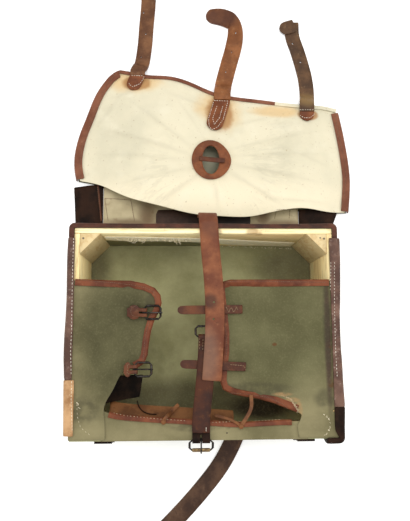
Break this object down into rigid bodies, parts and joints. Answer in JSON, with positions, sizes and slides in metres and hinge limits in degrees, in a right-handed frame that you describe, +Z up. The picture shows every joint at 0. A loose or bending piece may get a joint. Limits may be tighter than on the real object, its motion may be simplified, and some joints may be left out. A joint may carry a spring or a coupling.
{
  "type": "framed haversack",
  "caption": "Square haversack of canvas and linen over a wooden frame, edged with leather, lying on its back with the lid thrown open and its straps unbuckled.",
  "frame": {"origin": "middle of the back of the box, on the floor that it lies on", "axes": "+X to the right seen from the front, +Y from the box towards the opened lid, +Z up out of the floor"},
  "size_m": [0.4089, 0.8557, 0.1141],
  "materials": {
    "pine": "bare planed pine, pale yellow, a few stains",
    "canvas": "faded olive green cotton duck, worn and dusty",
    "linen": "cream linen with tan stains and frayed edges",
    "chestnut": "red-brown leather with white stitching, cracked and worn",
    "tan": "pale tan leather, scuffed",
    "black_leather": "near-black aged leather",
    "iron": "dark iron with rust and a little brass-coloured wear"
  },
  "bodies": {
    "body": {"frame_top": "pine", "frame_bottom": "pine", "frame_left": "pine", "frame_right": "pine", "corner_block_left": "pine", "corner_block_right": "pine", "canvas_body": "canvas", "lining_strip": "linen", "left_flap": "canvas", "right_flap": "canvas", "edging_left_flap": "chestnut", "edging_right_flap": "chestnut", "bottom_flap": "canvas", "edging_bottom_flap": "chestnut", "inner_leather": "black_leather", "facing_strip": "tan", "binding_left": "chestnut", "corner_patch_left": "tan", "binding_right": "chestnut", "corner_patch_right": "black_leather", "binding_top": "chestnut", "center_strap": "chestnut", "closure_strap_upper": "chestnut", "closure_strap_lower": "chestnut", "flap_chape_upper": "chestnut", "flap_buckle_upper": "iron", "flap_chape_lower": "chestnut", "flap_buckle_lower": "iron", "lower_strap": "chestnut", "lower_strap_buckle": "iron", "bottom_chape": "black_leather", "bottom_buckle": "iron", "side_chape_left": "black_leather", "side_buckle_left": "iron", "side_chape_right": "black_leather", "side_buckle_right": "iron", "shoulder_strap": "black_leather", "thong_left": "tan", "thong_loop": "black_leather", "thong_right": "tan", "lid_lining": "linen", "lid_shell": "canvas", "roof_lining": "linen", "roof_band": "black_leather", "lid_edging_left": "chestnut", "lid_edging_far": "chestnut", "lid_edging_right": "chestnut", "lid_wing_left": "black_leather", "lid_wing_right": "black_leather", "ring_rim": "chestnut", "ring_bar": "chestnut", "lid_strap_patch_left": "chestnut", "lid_strap_left": "chestnut", "lid_strap_patch_center": "chestnut", "lid_strap_center": "chestnut", "lid_strap_patch_right": "chestnut", "lid_strap_right": "chestnut"},
    "flap_prong_upper": {"flap_prong_upper": "iron"},
    "flap_prong_lower": {"flap_prong_lower": "iron"},
    "bottom_prong": {"bottom_prong": "iron"}
  },
  "joints": [
    {"name": "flap_prong_upper_hinge", "type": "hinge", "parent": "body", "child": "flap_prong_upper", "pos_m": [-0.07555, 0.02378, 0.10294], "axis": [-0.0138, -0.9831, -0.1824], "range_deg": [0, 130]},
    {"name": "flap_prong_lower_hinge", "type": "hinge", "parent": "body", "child": "flap_prong_lower", "pos_m": [-0.08646, -0.0468, 0.10645], "axis": [0, -0.9909, 0.1347], "range_deg": [0, 130]},
    {"name": "bottom_prong_hinge", "type": "hinge", "parent": "body", "child": "bottom_prong", "pos_m": [-0.00516, -0.1322, 0.11065], "axis": [-1, 0, 0], "range_deg": [0, 130]}
  ]
}
